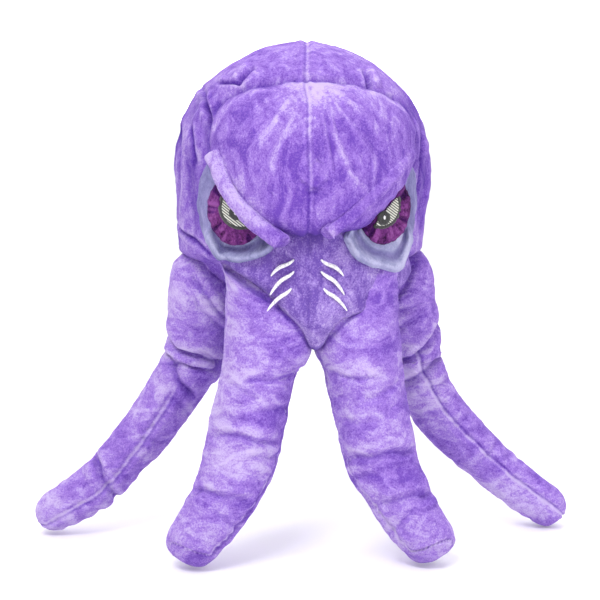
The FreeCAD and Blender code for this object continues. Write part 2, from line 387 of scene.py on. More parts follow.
# Forehead outline seen from the front, as (x, z) from its middle, anticlockwise from the right
FOREHEAD_MIDDLE = (0.003, 0.393)
FOREHEAD_OUTLINE = [
    (0.098, 0.000), (0.099, 0.030), (0.086, 0.050), (0.058, 0.062), (0.026, 0.069), (-0.004, 0.071),
    (-0.036, 0.068), (-0.066, 0.061), (-0.088, 0.045), (-0.096, 0.022), (-0.093, -0.008), (-0.074, -0.040),
    (-0.044, -0.065), (-0.018, -0.068), (0.006, -0.0665), (0.028, -0.066), (0.050, -0.059), (0.077, -0.034),
]
FOREHEAD_BULGE = 0.024
FOREHEAD_ROWS, FOREHEAD_COLUMNS = 170, 520
FAN_TOP = (0.001, 0.470)                    # x and z of the place that the forehead's ridges fan down from
# Each ridge: its direction from straight down, where it starts and ends, its height and its half width,
# with angles in radians
FOREHEAD_RIDGES = [
    (-0.62, 0.02, 0.10, 0.00165, 0.05), (-0.36, 0.03, 0.12, 0.00135, 0.04), (0.16, 0.03, 0.10, 0.0018, 0.03),
    (0.34, 0.03, 0.12, 0.0021, 0.04), (0.55, 0.02, 0.11, 0.0018, 0.05), (0.82, 0.02, 0.10, 0.0018, 0.06),
]
PUCKER = (0.001, 0.371)


def outline_radius(outline, angle):
    """The distance from the middle to a closed outline at each angle."""
    corner = np.array(outline)
    corner_angle = np.unwrap(np.arctan2(corner[:, 1], corner[:, 0]))
    even = np.linspace(corner_angle[0], corner_angle[0] + 2 * math.pi, 49)[:-1]
    wrapped = np.append(corner_angle, corner_angle[0] + 2 * math.pi)
    reach = np.linalg.norm(corner, axis=1)
    values = np.interp(even, wrapped, np.append(reach, reach[0]))
    return ring_spline(values, angle - corner_angle[0])


HOOD_ROWS, HOOD_COLUMNS = 300, 560
DOME_END, CHEEK_END, EDGE_END = 0.52, 0.69, 0.88    # the share of the rows at which each stretch ends
BASE_START = 0.885
# Folds in the hood seen from the front: both ends as (x, z), depth and half width
HOOD_FOLDS = [
    ((-0.052, 0.478), (-0.066, 0.463), 0.0060, 0.0052), ((-0.084, 0.4625), (-0.062, 0.4640), 0.0028, 0.0032),
    ((0.055, 0.477), (0.060, 0.458), 0.0065, 0.0060), ((0.053, 0.4565), (0.079, 0.4500), 0.0028, 0.0032),
    ((-0.098, 0.454), (-0.089, 0.409), 0.0050, 0.0040), ((-0.122, 0.430), (-0.118, 0.356), 0.0040, 0.0045),
    ((-0.110, 0.425), (-0.106, 0.385), 0.0026, 0.0040), ((-0.121, 0.326), (-0.090, 0.298), 0.0030, 0.0036),
    ((0.083, 0.449), (0.088, 0.402), 0.0034, 0.0038), ((0.104, 0.430), (0.099, 0.392), 0.0036, 0.0040),
    ((0.114, 0.418), (0.108, 0.350), 0.0040, 0.0044),
]


def hood_profile():
    """Radii and heights over the dome, down the cheeks, round the edge and in under the base."""
    t = np.linspace(0, 1, HOOD_ROWS)
    dome_turn = np.clip(t / DOME_END, 0, 1) * math.pi / 2
    drop = np.clip((t - DOME_END) / (CHEEK_END - DOME_END), 0, 1)
    edge_turn = np.clip((t - CHEEK_END) / (EDGE_END - CHEEK_END), 0, 1) * math.pi / 2
    under = np.clip((t - EDGE_END) / (1 - EDGE_END), 0, 1)
    round_in = CHEEK_Z - BASE_Z
    radius = HEAD_RADIUS * np.sin(dome_turn) + (CHEEK_RADIUS - HEAD_RADIUS) * drop
    radius = (radius - round_in * (1 - np.cos(edge_turn))) * (1 - 0.98 * under)
    radius[0] = 0.0004
    height = DOME_Z + HEAD_RADIUS * np.cos(dome_turn) - (DOME_Z - CHEEK_Z) * drop
    return radius[:, None], (height - round_in * np.sin(edge_turn))[:, None]


def hood_grid():
    """The whole head's shell, from its top to the middle of its base: places, painted shade and painted
    light.
    """
    angle = np.linspace(0, 2 * math.pi, HOOD_COLUMNS, endpoint=False)
    radius, height = hood_profile()
    grid = points_at(radius * np.sin(angle), HEAD_Y - radius * np.cos(angle), height)
    x, y, height = np.moveaxis(grid, -1, 0)
    normal = grid_normals(grid, True)
    normal[0] = (0, 0, 1)
    # Slack folds hang down both sides, and broad soft dents lie all over.
    side = ramp(np.abs(x), 0.075, 0.115) * ramp(height, 0.27, 0.31) * (1 - ramp(height, 0.45, 0.48))
    wander = 0.010 * noise(grid, 0.07, 1)
    folds = noise(points_at(0.3, y + wander, 0.16 * height), 0.016, 2)
    lift = 0.0044 * side * folds + 0.0022 * noise(grid, 0.055, 3) + 0.0010 * noise(grid, 0.022, 4)
    # Painted shade in the hollows of the side folds and over the side panels, more on the left; painted
    # highlights on the fold crests, and painted light over the top of the crown.
    dark = (1 - 0.40 * side * ramp(-folds, 0.15, 0.65)) * (1 - 0.06 * side - 0.14 * side * (x < 0))
    pale = 0.4 * side * ramp(folds, 0.2, 0.8) + 0.20 * ramp(height, 0.44, 0.50)
    # Sewn seams run down the middle and round the back, and a faint one crosses the crown.
    back_seam = y - BACK_SEAM_Y - 0.004 * noise(grid, 0.05, 5)
    crown_seam = height - CROWN_SEAM_Z - 0.02 * (y - HEAD_Y) / HEAD_RADIUS
    for distance, reach in ((x - middle_seam(y), 1.0), (back_seam, 1.0),
                            (crown_seam, 0.4 * ramp(-y, -0.02, 0.01))):
        pucker = 0.6 + 0.4 * np.sin(height * 620 + x * 300 + 6 * noise(grid, 0.02, 6))
        lift -= 0.0017 * ridge(distance, 0.0042) * reach * pucker
        lift += 0.0009 * ridge(np.abs(distance) - 0.0065, 0.005) * reach
        # Painted shade in each seam's groove and a painted highlight along its edge.
        dark *= 1 - 0.30 * ridge(distance + 0.0020, 0.0020) * reach
        pale += 0.55 * ridge(distance - 0.0004, 0.0028) * reach
    # A valley runs round the forehead, and sharper folds lie over its corners and down the sides.
    across, up = x - FOREHEAD_MIDDLE[0], height - FOREHEAD_MIDDLE[1]
    near = np.hypot(across, up) / outline_radius(FOREHEAD_OUTLINE, np.arctan2(up, across)) - 1.03
    ahead = ramp(HEAD_Y - y, -0.03, 0.01)
    lift -= 0.0030 * ridge(near, 0.09) * ahead
    # Painted shade in the valley.
    dark *= 1 - 0.42 * ridge(near, 0.05) * ahead
    for start, end, depth, width in HOOD_FOLDS:
        off, along = stroke(x + 0.25 * wander, height, start, end)
        off = off / np.clip(-normal[..., 1], 0.7, 1)
        along = along * ahead
        lift -= depth * ridge(off, width) * along
        lift += 0.45 * depth * ridge(np.abs(off) - 1.7 * width, 1.4 * width) * along
        # Painted shade in each fold and painted highlights on its shoulders.
        dark *= 1 - 0.55 * ridge(off, 0.9 * width) * along
        pale = pale - 0.5 * ridge(off, width) * along + 0.40 * ridge(np.abs(off) - 1.5 * width, width) * along
    # The head draws in behind the face panel and the tops of the arms.
    face = ramp(0.112 - np.abs(x), 0, 0.012) * ramp(0.405 - height, 0, 0.015) * ahead
    lift = lift * (1 - 0.7 * face) - 0.0030 * face
    lift -= 0.016 * ramp(0.302 - height, 0, 0.020) * ramp(-y, -0.045, -0.015)
    # The right cheek is flatter than the left one.
    lift -= 0.0035 * ramp(x, 0.06, 0.115) * (1 - ramp(height, 0.33, 0.375))
    lift += 0.0020 * ramp(-x, 0.06, 0.115) + 0.0004 * noise(grid, 0.0045, 7)
    return grid + normal * lift[..., None], np.clip(dark, 0.2, 1), pale


def hood():
    """The crown, side, back and base panels of the head."""
    grid, dark, pale = hood_grid()
    faces = grid_faces(HOOD_ROWS, HOOD_COLUMNS, True)
    centre = grid.reshape(-1, 3)[faces].mean(1)
    base = faces[:, 0] // HOOD_COLUMNS > BASE_START * HOOD_ROWS
    back = (centre[:, 1] > BACK_SEAM_Y) & ~base
    crown = (centre[:, 2] > CROWN_SEAM_Z) & ~back & ~base
    side = ~(base | back | crown)
    for word, where in (("left", centre[:, 0] < 0), ("right", centre[:, 0] >= 0)):
        for panel, chosen in (("crown", crown), ("back", back), ("side", side)):
            name = f"{panel}_{word}_panel"
            add_piece(f"plush_{name}", grid, faces[chosen & where], LILAC, [name], dark, pale)
    nodes = ["base_panel", "head_stuffing"]
    add_piece("plush_base_panel", grid, faces[base], LILAC, nodes, dark, pale)


def disc(rows, columns, outline, middle, reach=1.0):
    """A round grid inside an outline: share of the way out, angle, and the front view's x and z."""
    rho = np.linspace(0.004, reach, rows)[:, None] * np.ones((1, columns))
    angle = np.linspace(0, 2 * math.pi, columns, endpoint=False)[None, :] * np.ones((rows, 1))
    radius = outline_radius(outline, angle) * rho
    return rho, angle, middle[0] + radius * np.cos(angle), middle[1] + radius * np.sin(angle)


def forehead():
    """The stuffed forehead, one bulge with a seam down its middle and folds that fan from its top."""
    rho, angle, x, z = disc(FOREHEAD_ROWS, FOREHEAD_COLUMNS, FOREHEAD_OUTLINE, FOREHEAD_MIDDLE, 1.05)
    down = ramp(-np.sin(angle), -0.2, 0.9)
    edge = np.clip(1 - rho ** (3.0 + 4.0 * down), 0, None) ** 0.55
    height = (FOREHEAD_BULGE + 0.004 * down) * edge - 0.010 * ramp(rho, 0.985, 1.05) + 0.001
    flat = points_at(x, head_front(np.clip(x, -0.118, 0.118), z), z)
    normal = front_normal(np.clip(x, -0.112, 0.112), np.minimum(z, 0.45))
    grid = flat + normal * height[..., None] * np.array([0.55, 1.0, 0.55])
    lift, dark = 0, 1.0
    # Painted light: the top of the bulge is painted lighter.
    pale = 0.10 + 0.75 * ridge(np.hypot((x - 0.002) * 1.1, z - 0.450), 0.045)
    fan = np.arctan2(x - FAN_TOP[0], FAN_TOP[1] - z)
    far = np.hypot(x - FAN_TOP[0], FAN_TOP[1] - z)
    for direction, start, end, size, width in FOREHEAD_RIDGES:
        wiggle = 0.06 * noise(points_at(far, 0, 0), 0.03, int(direction * 10) + 20)
        reach = ramp(far, start, start + 0.02) * (1 - ramp(far, end - 0.03, end))
        bump = ridge(fan - direction - wiggle, width * 1.6) * reach
        lift += size * bump
        # Painted highlight along each ridge.
        pale += 0.50 * bump
    # A small pucker lies in the middle seam, with a crease to each side, and painted shade lies in them.
    beside, above = x - PUCKER[0], z - PUCKER[1]
    lift -= 0.0036 * ridge(np.hypot(beside, (above + 0.002) * 2.2), 0.009)
    lift += 0.0016 * ridge(np.hypot(beside - 0.003, above * 1.6), 0.012)
    dark *= 1 - 0.50 * ridge(np.hypot(beside, (above + 0.004) * 2.4), 0.008)
    for way in (-1, 1):
        crease = ridge(above - way * 0.5 * beside, 0.0030) * ridge(beside - way * 0.008, 0.009)
        lift -= 0.0012 * crease
        dark *= 1 - 0.22 * crease
    # The middle seam, with painted shade in it and a painted highlight beside it, and gathers round the edge.
    # Painted shade lies round the rim and most under the bulge, with a painted highlight along its upper rim.
    middle = x - middle_seam(grid[..., 1]) - 0.0010 * noise(points_at(z, 0, 0), 0.02, 30)
    lift = lift - 0.0013 * ridge(middle, 0.0034) + 0.0006 * ridge(np.abs(middle) - 0.005, 0.004)
    pale += 0.60 * ridge(middle - 0.0004, 0.0024)
    dark *= 1 - 0.26 * ridge(middle + 0.0018, 0.0018)
    gather = noise(points_at(0.30 * np.cos(angle), 0.30 * np.sin(angle), 0.02 * rho), 0.034, 31)
    lift += 0.0016 * ramp(rho, 0.72, 0.97) * gather
    dark *= (1 - 0.50 * ramp(rho, 0.95, 1.0)) * (1 - 0.35 * ramp(rho, 0.86, 0.98) * down)
    pale += 0.35 * ridge(rho - 0.93, 0.05) * ramp(np.sin(angle), -0.1, 0.4)
    pale -= 0.25 * ramp(rho * down, 0.6, 0.95)
    inside = ramp(1 - rho, 0.02, 0.12)
    lift += 0.0014 * noise(grid, 0.035, 32) * inside + 0.0004 * noise(grid, 0.0045, 33)
    outward = grid_normals(grid, True)
    outward = outward * np.sign(-outward[..., 1:2].mean())
    grid = grid + outward * lift[..., None]
    faces = grid_faces(FOREHEAD_ROWS, FOREHEAD_COLUMNS, True)
    add_halves("forehead", grid, faces, middle, LILAC, dark, pale)


# ---------------------------------------------------------------- face

def muzzle_front(x, z):
    """The y of the face below the eyes, which stays forward down to the point between the front arms."""
    radius = 0.1258 - 0.0085 * ramp(0.250 - z, 0, 0.045)
    return HEAD_Y - np.sqrt(np.clip(radius ** 2 - x ** 2, 1e-8, None))


MUZZLE_ROWS, MUZZLE_COLUMNS = 150, 420
MUZZLE_MIDDLE = (0.002, 0.282)
MUZZLE_OUTLINE = [
    (0.104, 0.000), (0.100, 0.018), (0.085, 0.040), (0.045, 0.066), (0.0, 0.070), (-0.045, 0.066),
    (-0.085, 0.040), (-0.096, 0.028), (-0.093, 0.016), (-0.080, 0.007), (-0.066, -0.003), (-0.053, -0.0125),
    (-0.040, -0.0225), (-0.027, -0.034), (-0.017, -0.046), (-0.008, -0.060), (-0.001, -0.070),
    (0.005, -0.073), (0.012, -0.068), (0.020, -0.056), (0.030, -0.044), (0.046, -0.034), (0.072, -0.022),
    (0.094, -0.012),
]


def add_halves(panel, grid, faces, middle, look, dark, pale):
    """A panel's left and right halves, cut along its middle seam."""
    seam = middle.reshape(-1)[faces].mean(1)
    for word, where in (("left", seam < 0), ("right", seam >= 0)):
        name = f"{panel}_{word}_panel"
        add_piece(f"plush_{name}", grid, faces[where], look, [name], dark, pale)


def muzzle():
    """The pointed face panel, whose V-shaped lower edge is sewn between the tops of the front arms."""
    rho, angle, x, z = disc(MUZZLE_ROWS, MUZZLE_COLUMNS, MUZZLE_OUTLINE, MUZZLE_MIDDLE)
    normal = front_normal(x, z, muzzle_front)
    down = ramp(-np.sin(angle), -0.25, 0.15)
    sewn = down * (1 - 0.85 * ramp(x, 0.030, 0.050))
    rim = np.sqrt(np.clip(1 - rho ** 9, 0, 1))
    out = -(0.006 + 0.012 * sewn) * (1 - rim) - 0.0040 * sewn * ramp(rho, 0.55, 0.95)
    grid = points_at(x, muzzle_front(x, z), z) + normal * out[..., None]
    middle = x + 0.0025 - 0.0015 * noise(points_at(z, 0, 0), 0.03, 40)
    lift = 0.0016 * noise(grid, 0.040, 41) + 0.0008 * noise(grid, 0.016, 42)
    lift += 0.0003 * noise(grid, 0.0045, 43) - 0.0010 * ridge(middle, 0.0030) * ramp(z, 0.22, 0.24)
    # Two soft folds run along the V, one on each side.
    along_left = (x + 0.050) * 0.65 + (z - 0.280) * 0.76 + 0.002 * noise(grid, 0.03, 44)
    along_right = -(x - 0.052) * 0.62 + (z - 0.272) * 0.78 + 0.002 * noise(grid, 0.03, 45)
    lift += 0.0016 * ridge(along_left, 0.010) * (x < 0) + 0.0016 * ridge(along_right, 0.010) * (x > 0)
    # Painted shade in the middle seam, along the sewn V where the arms meet it, and across its top under the
    # forehead; a painted highlight along the V's rim.
    dark = 1 - 0.10 * ridge(middle, 0.0016) * ramp(z, 0.22, 0.24)
    dark *= (1 - 0.65 * ramp(rho, 0.92, 0.99) * sewn) * (1 - 0.25 * ramp(z, 0.312, 0.328))
    pale = 0.25 * ridge(rho - 0.89, 0.06) * sewn
    grid = grid + grid_normals(grid, True) * lift[..., None]
    faces = grid_faces(MUZZLE_ROWS, MUZZLE_COLUMNS, True)
    add_halves("muzzle", grid, faces, middle, FACE_LILAC, dark, pale)


def face_front(x, z):
    """The y of the front of the face, head or muzzle."""
    return np.minimum(head_front(x, z), muzzle_front(x, z))


def stand_out(x, z, height):
    """Points this far out from the face that are seen at x and z from the front."""
    normal = front_normal(x, z, face_front)
    base_x, base_z = x - normal[..., 0] * height, z - normal[..., 2] * height
    flat = points_at(base_x, face_front(base_x, base_z), base_z)
    return flat + front_normal(base_x, base_z, face_front) * height[..., None]


def face_disc(side, middle, outline, size, out):
    """A disc that stands this far out from the face, mirrored to a side. Its size is in rows and columns."""
    rho, angle, x, z = disc(*size, outline, middle)
    return rho, angle, x, z, stand_out(side * x, z, out(rho, angle, x, z))


# Places and outlines of the right eye, seen from the front as (x, z); sizes are in rows and columns
SOCKET_SIZE, PAD_SIZE, EYE_SIZE = (110, 300), (90, 360), (30, 144)
LID_START = 0.70                            # the share of the way out at which the lower lid starts
SOCKET_MIDDLE = (0.070, 0.338)
SOCKET_OUTLINE = [
    (0.034, 0.000), (0.035, 0.024), (0.032, 0.044), (0.022, 0.056), (0.004, 0.044), (-0.018, 0.018),
    (-0.034, -0.004), (-0.041, -0.017), (-0.036, -0.027), (-0.020, -0.040), (-0.004, -0.045), (0.010, -0.048),
    (0.018, -0.049), (0.026, -0.036), (0.031, -0.018),
]
PAD_MIDDLE = (0.070, 0.3475)
PAD_OUTLINE = [(0.0272 * math.cos(a), 0.0345 * math.sin(a)) for a in np.arange(0, 6.2, math.pi / 8)]
EYE_MIDDLE = (0.0750, 0.3430)
EYE_CHORD = (0.0705, 0.3465)      # middle of the eye's straight side, which lies along the brow
EYE_ACROSS = (0.66, 0.75)
EYE_DOWN = (0.75, -0.66)
EYE_RADIUS = 0.0205
EYE_DEPTH = 0.0150
PUPIL_MIDDLE = (0.0700, 0.3425)
PUPIL_RADIUS = 0.0070


def pad_height(x, z):
    """How far the stuffed magenta pad stands out from the head."""
    far = ((x - PAD_MIDDLE[0]) / 0.029) ** 2 + ((z - PAD_MIDDLE[1]) / 0.0365) ** 2
    return 0.0085 + 0.0050 * np.clip(1 - far, 0, None) ** 0.6


def add_face_piece(side, name, grid, faces, look, dark=1.0, pale=0.0, kind="plush"):
    """A piece cut from a mirrored disc, whose faces turn over with the side."""
    add_piece(f"{kind}_{name}", grid, faces, look, [name], dark, pale, flip=side > 0)


def roughened(side, grid, lift):
    """A mirrored disc's grid, moved out along its normals."""
    return grid + side * grid_normals(grid, True) * lift[..., None]


def lid_share(angle):
    """1 on the lower part of a socket, where its lid is, and 0 on the rest."""
    return ramp(-np.sin(angle + 0.35), -0.15, 0.35)


def socket(side, word):
    """The grey-blue surround of an eye, with a fold under the pad and a rolled lower lid."""
    def out(rho, angle, x, z):
        low = lid_share(angle)
        height = 0.0055 * np.clip(1 - rho ** 6, 0, None) ** 0.5 + 0.0002
        height = height + 0.0052 * ridge(rho - 0.86, 0.15) * low
        return height - 0.0030 * ridge(rho - 0.66, 0.09) * low - 0.0090 * ramp(rho, 0.965, 1.0)
    # The left socket ends higher than the right one, most of all at its outer corner.
    inner, outer = -0.003 * side, 0.0015 - 0.0065 * side
    outline = [(a, b + (inner if a < 0.005 else outer) if b < -0.03 else b) for a, b in SOCKET_OUTLINE]
    rho, angle, _, _, grid = face_disc(side, SOCKET_MIDDLE, outline, SOCKET_SIZE, out)
    low = lid_share(angle)
    lift = 0.0012 * noise(grid, 0.020, 50) + 0.0006 * noise(grid, 0.008, 51) + 0.0003 * noise(grid, 0.004, 52)
    grid = roughened(side, grid, lift)
    # Painted shade in the fold above the lid, round the rim and over the upper part, and a painted highlight
    # on the lid roll. The right socket is painted lighter than the left, as painted light.
    dark = (1 - 0.36 * ridge(rho - 0.68, 0.11) * low) * (1 - 0.45 * ramp(rho, 0.97, 1.0))
    dark *= 1 - 0.25 * (1 - low)
    pale = 0.50 * ridge(rho - 0.87, 0.10) * low + 0.22 + 0.30 * side
    rows, columns = SOCKET_SIZE
    faces = grid_faces(rows, columns, True)
    lid = (faces[:, 0] // columns > rows * LID_START) & (low.reshape(-1)[faces].mean(1) > 0.5)
    for part, where in (("eye_socket", ~lid), ("lower_lid", lid)):
        add_face_piece(side, f"{word}_{part}", grid, faces[where], GREY_BLUE, dark, pale)


def pad(side, word):
    """The crushed magenta pad behind an eye, gathered in creases toward its rim."""
    def gathers(rho, angle):
        return noise(points_at(0.5 * np.cos(angle), 0.5 * np.sin(angle), 0.10 * rho), 0.055, 60 + side)

    def out(rho, angle, x, z):
        rim = ramp(rho, 0.35, 0.75) * (1 - ramp(rho, 0.93, 1.0))
        return pad_height(x, z) + 0.0024 * gathers(rho, angle) * rim - 0.0060 * ramp(rho, 0.90, 1.0) ** 2
    rho, angle, x, z, grid = face_disc(side, PAD_MIDDLE, PAD_OUTLINE, PAD_SIZE, out)
    grid = roughened(side, grid, 0.0010 * noise(grid, 0.008, 62) + 0.0005 * noise(grid, 0.003, 63))
    creases, rim = gathers(rho, angle), ramp(rho, 0.35, 0.7)
    # Painted shade in the creases of the gathers and round the rim.
    dark = (1 - 0.60 * ramp(-creases, 0.05, 0.6) * rim) * (1 - 0.5 * ramp(rho, 0.94, 1.0))
    # The brow shades the pad's upper and inner part.
    dark *= 1 - 0.45 * ramp(0.77 * (z - PAD_MIDDLE[1]) - 0.64 * (x - PAD_MIDDLE[0]), -0.014, 0.012)
    # Painted highlights on the crests of the gathers.
    pale = 0.7 * ramp(creases, 0.1, 0.7) * rim
    add_face_piece(side, f"{word}_eye_pad", grid, grid_faces(*PAD_SIZE, True), MAGENTA, dark, pale)


def half_moon(inset):
    """The outline of an eye, as offsets from EYE_MIDDLE: an arc below, and nearly straight along the brow."""
    across, down = np.array(EYE_ACROSS), np.array(EYE_DOWN)
    radius, drop = EYE_RADIUS - inset, EYE_RADIUS - EYE_DEPTH
    first = math.asin(drop / radius)
    arc = [across * radius * math.cos(a) + down * (radius * math.sin(a) - drop)
           for a in np.linspace(first, math.pi - first, 15)]
    width = radius * math.cos(first)
    chord = [across * width * share for share in (-0.8, -0.4, 0.0, 0.4, 0.8)]
    shift = np.array(EYE_CHORD) - np.array(EYE_MIDDLE)
    points = np.array(arc + chord) + shift
    turn = np.unwrap(np.arctan2(points[:, 1], points[:, 0]))
    return [tuple(p) for p in (points if turn[-1] > turn[0] else points[::-1])]


def on_pad(side, middle, outline, height):
    """An embroidered shape on the pad, this far above it at its middle and level with it at its edge."""
    def out(rho, angle, x, z):
        return pad_height(x, z) + height * np.clip(1 - rho ** 8, 0, None) ** 0.5 + 0.0002
    return face_disc(side, middle, outline, EYE_SIZE, out)


def eye(side, word):
    """The embroidered eye: black outline, hatched grey, ringed pupil and a white glint."""
    def oval(across, up):
        return [(across * math.cos(a), up * math.sin(a)) for a in np.arange(24) * math.pi / 12]
    middle = (PUPIL_MIDDLE[0] - 0.0010 * side, PUPIL_MIDDLE[1] - 0.0025 * side)
    glint = (middle[0] + 0.0005, middle[1] + 0.0005)
    layers = (("eye_outline", EYE_MIDDLE, half_moon(0.0), 0.0012, BLACK),
              ("eye_white", EYE_MIDDLE, half_moon(0.0026), 0.0019, EYE_GREY),
              ("pupil", middle, oval(PUPIL_RADIUS, PUPIL_RADIUS), 0.0026, BLACK),
              ("eye_glint", glint, oval(0.0013, 0.0022), 0.0033, WHITE))
    for part, centre, outline, height, look in layers:
        rho, angle, x, z, grid = on_pad(side, centre, outline, height)
        threads = np.sin(angle * 72) if look is BLACK else np.sin((x + z) * 4200)
        grid = roughened(side, grid, 0.00018 * threads * (1 - ramp(rho, 0.9, 1.0)))
        add_face_piece(side, f"{word}_{part}", grid, grid_faces(*EYE_SIZE, True), look, kind="stitched")


FORWARD = np.array((0.0, -1.0, 0.0))


def run_length(line):
    """The distance of each point of a line from its first, along it."""
    return np.concatenate([[0], np.cumsum(np.linalg.norm(np.diff(line, axis=0), axis=1))])


def turned(angle, zero):
    """An angle measured from another one, from -pi to pi."""
    return np.remainder(angle - zero + math.pi, 2 * math.pi) - math.pi


def tube(centre, radius, columns, squareness=2.0, slant=0.0):
    """Rings round a line of centres: their grid, the angle of each column, and the line's directions."""
    along = unit(np.gradient(centre, axis=0))
    forward = unit(FORWARD - along * (along @ FORWARD)[:, None])
    right = np.cross(forward, along)
    angle = np.linspace(0, 2 * math.pi, columns, endpoint=False)
    rows = (len(centre),)
    power = 2 / np.broadcast_to(squareness, rows)[:, None]
    ahead = np.sign(np.cos(angle)) * np.abs(np.cos(angle)) ** power
    aside = np.sign(np.sin(angle)) * np.abs(np.sin(angle)) ** power
    size = np.broadcast_to(radius, rows)[:, None]
    grid = (centre[:, None] + forward[:, None] * (size * ahead)[..., None]
            + right[:, None] * (size * aside)[..., None])
    grid[..., 2] += np.broadcast_to(slant, rows)[:, None] * (grid[..., 0] - centre[:, None, 0])
    return grid, angle, along


BROW_RADIUS = {"left": 0.0082, "right": 0.0070}
BROW_SIZE = (150, 110)
BROW_END = 0.06                             # how far a brow runs past its last points, in shares of a stretch
# Points down each brow: x and z seen from the front, and how far it stands out from the face
BROWS = {
    "left": [(-0.0900, 0.3970, 0.009), (-0.0775, 0.3660, 0.018), (-0.0595, 0.3430, 0.022),
             (-0.0295, 0.3205, 0.021)],
    "right": [(0.0890, 0.3930, 0.009), (0.0715, 0.3745, 0.018), (0.0450, 0.3515, 0.023),
              (0.0145, 0.3285, 0.021)],
}


def brow(word):
    """A thin stuffed roll that slants down toward the middle of the face, with blunt ends."""
    rows, columns = BROW_SIZE
    place = stand_out(*np.array(BROWS[word]).T)
    at = np.linspace(-BROW_END, 3 + BROW_END, rows)
    centre = spline(place, np.clip(at, 0, 3)) + (at - np.clip(at, 0, 3))[:, None] * (place[1] - place[0])
    ends = np.minimum(at + BROW_END, 3 + BROW_END - at) / 0.14
    radius = BROW_RADIUS[word] * np.clip(1 - np.clip(1 - ends, 0, 1) ** 5, 0, 1) ** 0.40 + 0.0002
    grid, angle, _ = tube(centre, radius, columns, squareness=2.4)
    lift = 0.0011 * noise(grid, 0.018, 70) + 0.0007 * noise(grid, 0.007, 71) + 0.0003 * noise(grid, 0.003, 72)
    seam = turned(angle, -1.15 if word == "right" else 1.15)[None, :] * BROW_RADIUS[word]
    grid = grid + grid_normals(grid, True) * (lift - 0.0010 * ridge(seam, 0.0022))[..., None]
    # Painted shade in the seam's groove.
    dark = 1 - 0.3 * ridge(seam, 0.0014)
    # The roll is lighter all over, and most near its outer end.
    pale = 0.38 + 0.3 * ridge(run_length(centre)[:, None] - 0.004, 0.010)
    name = f"{word}_brow"
    add_piece(f"plush_{name}", grid, grid_faces(rows, columns, True), LILAC, [name], dark, pale)


# Gill slashes on the right half of the muzzle: inner end, middle and outer end, each as (x, z)
SLASHES = [((0.0125, 0.302), (0.0235, 0.2955), (0.0335, 0.286)),
           ((0.0125, 0.291), (0.0230, 0.2830), (0.0345, 0.268)),
           ((0.0150, 0.275), (0.0240, 0.2675), (0.0370, 0.253))]
SLASH_SIZE = (60, 20)
SLASH_RADIUS = 0.0019


def slashes(side, word):
    """Three satin-stitched slashes on one half of the muzzle."""
    rows, columns = SLASH_SIZE
    grids, faces = [], []
    for number, line in enumerate(SLASHES):
        at = np.linspace(0, 2, rows)
        flat = spline(np.array(line), at)
        x, z = side * flat[:, 0] - 0.0035, flat[:, 1] + 0.0012 * np.sin(np.pi * (at - 1))
        centre = points_at(x, muzzle_front(x, z), z) + front_normal(x, z, muzzle_front) * 0.0012
        taper = np.clip(np.sin(np.pi * np.clip(at / 2 * 0.93 + 0.05, 0, 1)), 0.02, 1) ** 0.6
        grid, _, _ = tube(centre, SLASH_RADIUS * taper * (1 + 0.07 * np.sin(at * 60 + number)), columns)
        grids.append(grid.reshape(-1, 3))
        faces.append(grid_faces(rows, columns, True) + number * rows * columns)
    name = f"{word}_gill_stitches"
    add_piece(f"stitched_{name}", np.concatenate(grids), np.concatenate(faces), WHITE, [name])
